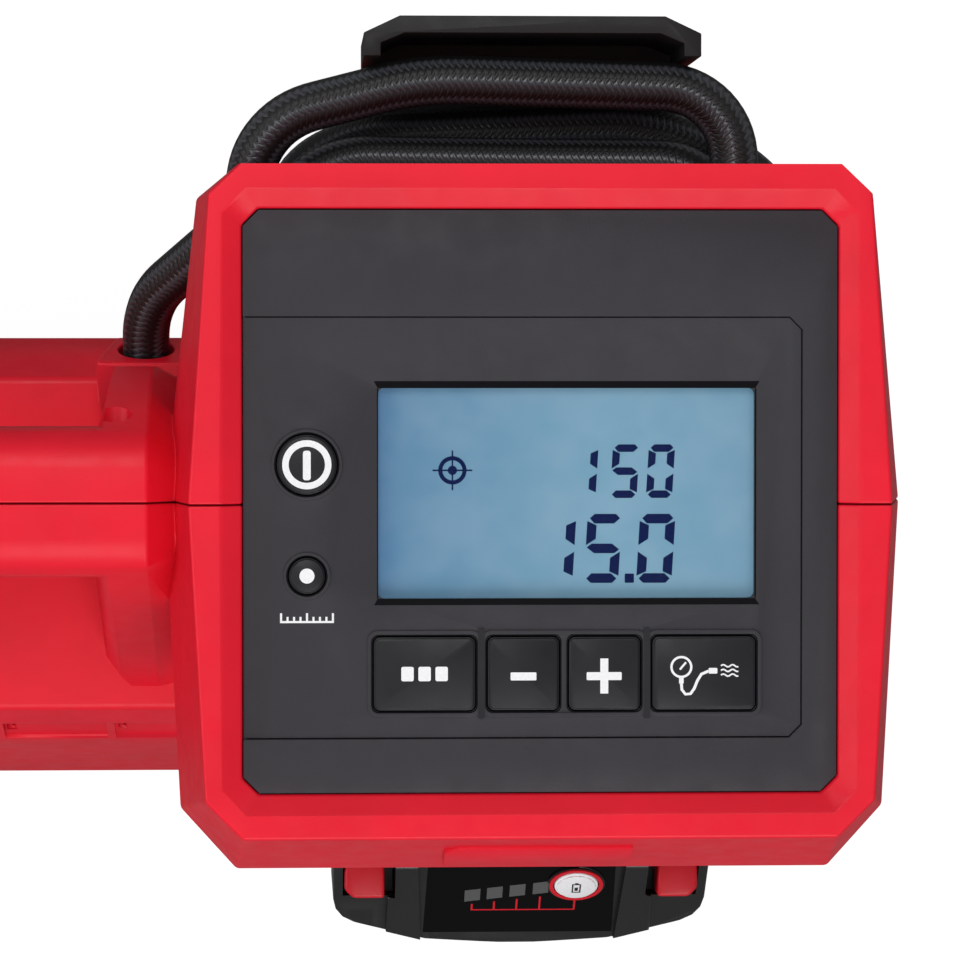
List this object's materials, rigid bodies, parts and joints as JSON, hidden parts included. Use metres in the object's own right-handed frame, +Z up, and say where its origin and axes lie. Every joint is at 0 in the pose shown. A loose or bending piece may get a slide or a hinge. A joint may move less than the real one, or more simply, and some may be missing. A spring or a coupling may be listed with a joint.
{
  "type": "portable tyre inflator",
  "caption": "Cordless tyre inflator with a display head, carrying handle, wound air hose with screw-on chuck and slide-in battery pack.",
  "frame": {"origin": "centre of the bounding box's bottom face, on the floor, without the hose and chuck", "axes": "+Z up, +X along the carrying handle towards the display head, -Y towards the user and the battery pack"},
  "size_m": [0.2886, 0.1944, 0.171],
  "materials": {
    "red_shell": "moulded red plastic, satin",
    "panel_dark": "fine-grained dark grey plastic",
    "lcd_glass": "clear polished window",
    "lcd_back": "blue-grey liquid crystal",
    "board_green": "solder mask",
    "key_dark": "matte rubber",
    "black_plastic": "moulded black plastic",
    "hose_black": "braided sleeve, slightly shiny",
    "steel": "turned and plated",
    "brass": "turned",
    "pack_black": "moulded black plastic, shiny",
    "cell_wrap": "shrink wrap",
    "red_button": "moulded red plastic",
    "button_silver": "silver-grey plastic",
    "led_lens": "smoked lens",
    "foot_rubber": "soft rubber",
    "alloy": "die-cast"
  },
  "bodies": {
    "root": {"front_shell": "red_shell", "rear_shell": "red_shell", "control_panel": "panel_dark", "lcd_window": "lcd_glass", "lcd_module": "lcd_back", "control_board": "board_green", "hose_hook": "black_plastic", "hook_screw_1": "steel", "hook_screw_2": "steel", "hose": "hose_black", "hose_gland": "hose_black", "hose_ferrule": "steel", "chuck_body": "brass", "chuck_collar": "steel", "chuck_clip": "black_plastic", "terminal_block": "brass", "foot_1": "foot_rubber", "foot_2": "foot_rubber", "foot_3": "foot_rubber", "foot_4": "foot_rubber", "case_screw_1": "steel", "case_screw_2": "steel", "case_screw_3": "steel", "case_screw_4": "steel", "case_screw_5": "steel", "case_screw_6": "steel", "motor_can": "steel", "gear_frame": "alloy", "cylinder": "alloy", "cylinder_head": "alloy", "air_tube": "black_plastic"},
    "battery": {"battery_case": "pack_black", "battery_cells": "cell_wrap", "gauge_leds": "led_lens"},
    "release_left": {"battery_release_left": "red_button"},
    "release_right": {"battery_release_right": "red_button"},
    "gauge": {"gauge_button": "button_silver"},
    "power": {"power_button": "key_dark"},
    "units": {"units_button": "key_dark"},
    "memory": {"memory_key": "key_dark"},
    "minus": {"minus_key": "key_dark"},
    "plus": {"plus_key": "key_dark"},
    "inflate": {"inflate_key": "key_dark"},
    "rotor": {"motor_rotor": "steel", "cooling_fan": "black_plastic"},
    "crank": {"drive_gear": "steel"},
    "rod": {"connecting_rod": "steel"}
  },
  "joints": [
    {"name": "power_press", "type": "slide", "parent": "root", "child": "power", "axis": [0, 0, -1], "range_m": [0, 0.0009], "stiffness_N_per_m": 400, "springref_m": -0.0008},
    {"name": "units_press", "type": "slide", "parent": "root", "child": "units", "axis": [0, 0, -1], "range_m": [0, 0.0009], "stiffness_N_per_m": 400, "springref_m": -0.0008},
    {"name": "memory_press", "type": "slide", "parent": "root", "child": "memory", "axis": [0, 0, -1], "range_m": [0, 0.0009], "stiffness_N_per_m": 400, "springref_m": -0.0008},
    {"name": "minus_press", "type": "slide", "parent": "root", "child": "minus", "axis": [0, 0, -1], "range_m": [0, 0.0009], "stiffness_N_per_m": 400, "springref_m": -0.0008},
    {"name": "plus_press", "type": "slide", "parent": "root", "child": "plus", "axis": [0, 0, -1], "range_m": [0, 0.0009], "stiffness_N_per_m": 400, "springref_m": -0.0008},
    {"name": "inflate_press", "type": "slide", "parent": "root", "child": "inflate", "axis": [0, 0, -1], "range_m": [0, 0.0009], "stiffness_N_per_m": 400, "springref_m": -0.0008},
    {"name": "battery_slide", "type": "slide", "parent": "root", "child": "battery", "axis": [0, -1, 0], "range_m": [0, 0.12]},
    {"name": "release_left_press", "type": "slide", "parent": "battery", "child": "release_left", "axis": [1, 0, 0], "range_m": [0, 0.002], "stiffness_N_per_m": 700, "springref_m": -0.001},
    {"name": "release_right_press", "type": "slide", "parent": "battery", "child": "release_right", "axis": [-1, 0, 0], "range_m": [0, 0.002], "stiffness_N_per_m": 700, "springref_m": -0.001},
    {"name": "gauge_press", "type": "slide", "parent": "battery", "child": "gauge", "axis": [0, 0.7627, -0.6467], "range_m": [0, 0.0008], "stiffness_N_per_m": 400, "springref_m": -0.0008},
    {"name": "crank_spin", "type": "hinge", "parent": "root", "child": "crank", "pos_m": [-0.0395, -0.0112, 0.0333], "axis": [1, 0, 0], "continuous": true},
    {"name": "rotor_spin", "type": "hinge", "parent": "root", "child": "rotor", "pos_m": [-0.0395, -0.0112, 0.055], "axis": [1, 0, 0], "continuous": true},
    {"name": "rod_pin", "type": "hinge", "parent": "crank", "child": "rod", "pos_m": [-0.0395, -0.0112, 0.0373], "axis": [1, 0, 0], "continuous": true}
  ],
  "couplings": [
    {"joint": "rotor_spin", "follows": "crank_spin", "ratio": -3.5},
    {"joint": "rod_pin", "follows": "crank_spin", "ratio": -1}
  ]
}
